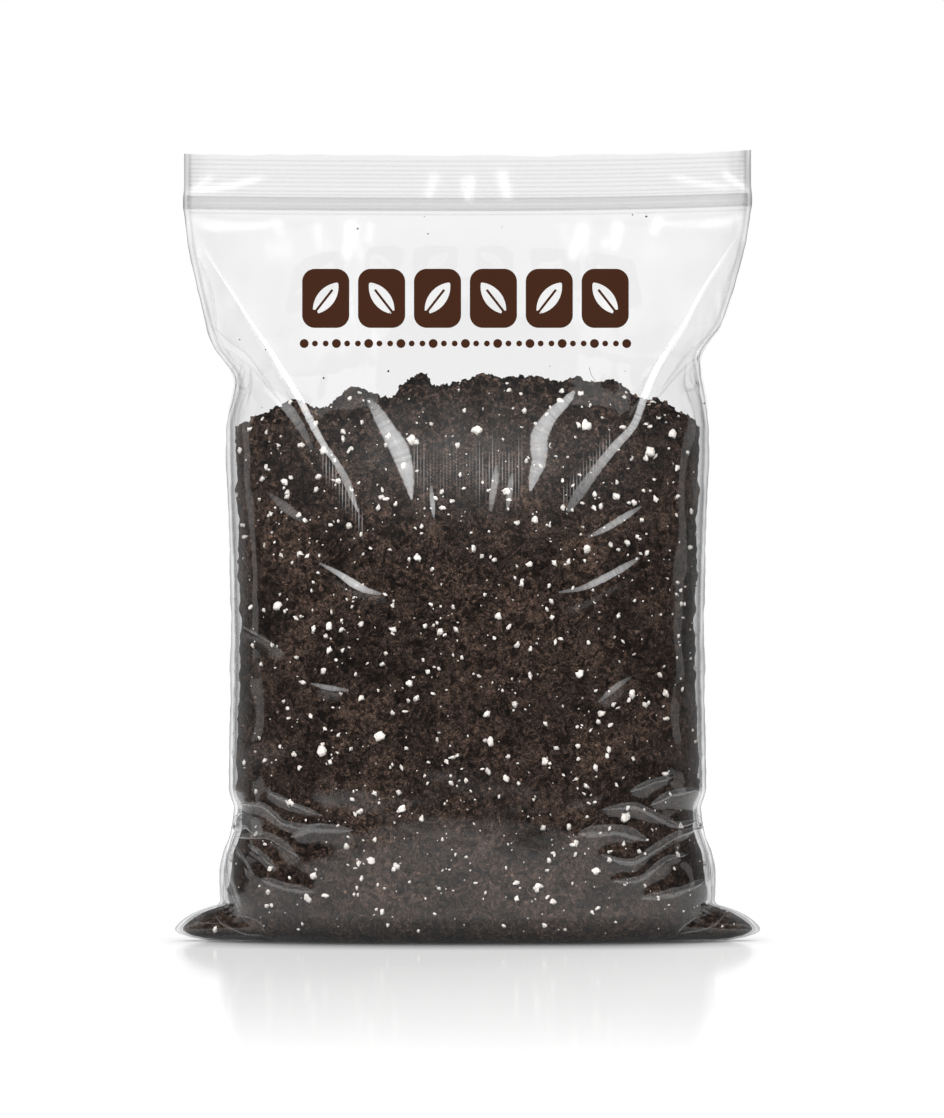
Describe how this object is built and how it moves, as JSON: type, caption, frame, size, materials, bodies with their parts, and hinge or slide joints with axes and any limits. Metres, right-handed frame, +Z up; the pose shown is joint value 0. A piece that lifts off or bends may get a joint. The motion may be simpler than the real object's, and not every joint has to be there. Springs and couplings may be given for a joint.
{
  "type": "zip-top bag of compost",
  "caption": "Clear zip-top film bag standing on its flat base, filled with dark compost and white perlite, with folded shoulders and corner ears.",
  "frame": {"origin": "on the floor under the middle of the bag, at the centre of its bounding box", "axes": "+Z up to the mouth, +X to the right along the mouth as seen from the front, -Y towards the front wall with the print"},
  "size_m": [0.34, 0.1146, 0.4596],
  "materials": {
    "film": "clear glossy film with fine wrinkles",
    "zip": "clear moulded strip",
    "compost": "dark fibrous crumbs",
    "perlite": "matt white expanded grains",
    "print": "brown ink on film"
  },
  "bodies": {
    "root": {"bag_film": "film", "zip_rib_strip": "zip", "zip_groove_strip": "zip", "compost_fill": "compost", "perlite_01": "perlite", "perlite_02": "perlite", "perlite_03": "perlite", "perlite_04": "perlite", "perlite_05": "perlite", "perlite_06": "perlite", "perlite_07": "perlite", "perlite_08": "perlite", "perlite_09": "perlite", "perlite_10": "perlite", "perlite_11": "perlite", "perlite_12": "perlite", "perlite_13": "perlite", "perlite_14": "perlite", "perlite_15": "perlite", "perlite_16": "perlite", "perlite_17": "perlite", "perlite_18": "perlite", "perlite_19": "perlite", "perlite_20": "perlite", "perlite_21": "perlite", "perlite_22": "perlite", "perlite_23": "perlite", "perlite_24": "perlite", "perlite_25": "perlite", "perlite_26": "perlite", "perlite_27": "perlite", "perlite_28": "perlite", "perlite_29": "perlite", "perlite_30": "perlite", "perlite_31": "perlite", "perlite_32": "perlite", "perlite_33": "perlite", "perlite_34": "perlite", "perlite_35": "perlite", "perlite_36": "perlite", "perlite_37": "perlite", "perlite_38": "perlite", "perlite_39": "perlite", "perlite_40": "perlite", "perlite_41": "perlite", "perlite_42": "perlite", "perlite_43": "perlite", "perlite_44": "perlite", "perlite_45": "perlite", "perlite_46": "perlite"}
  },
  "joints": []
}
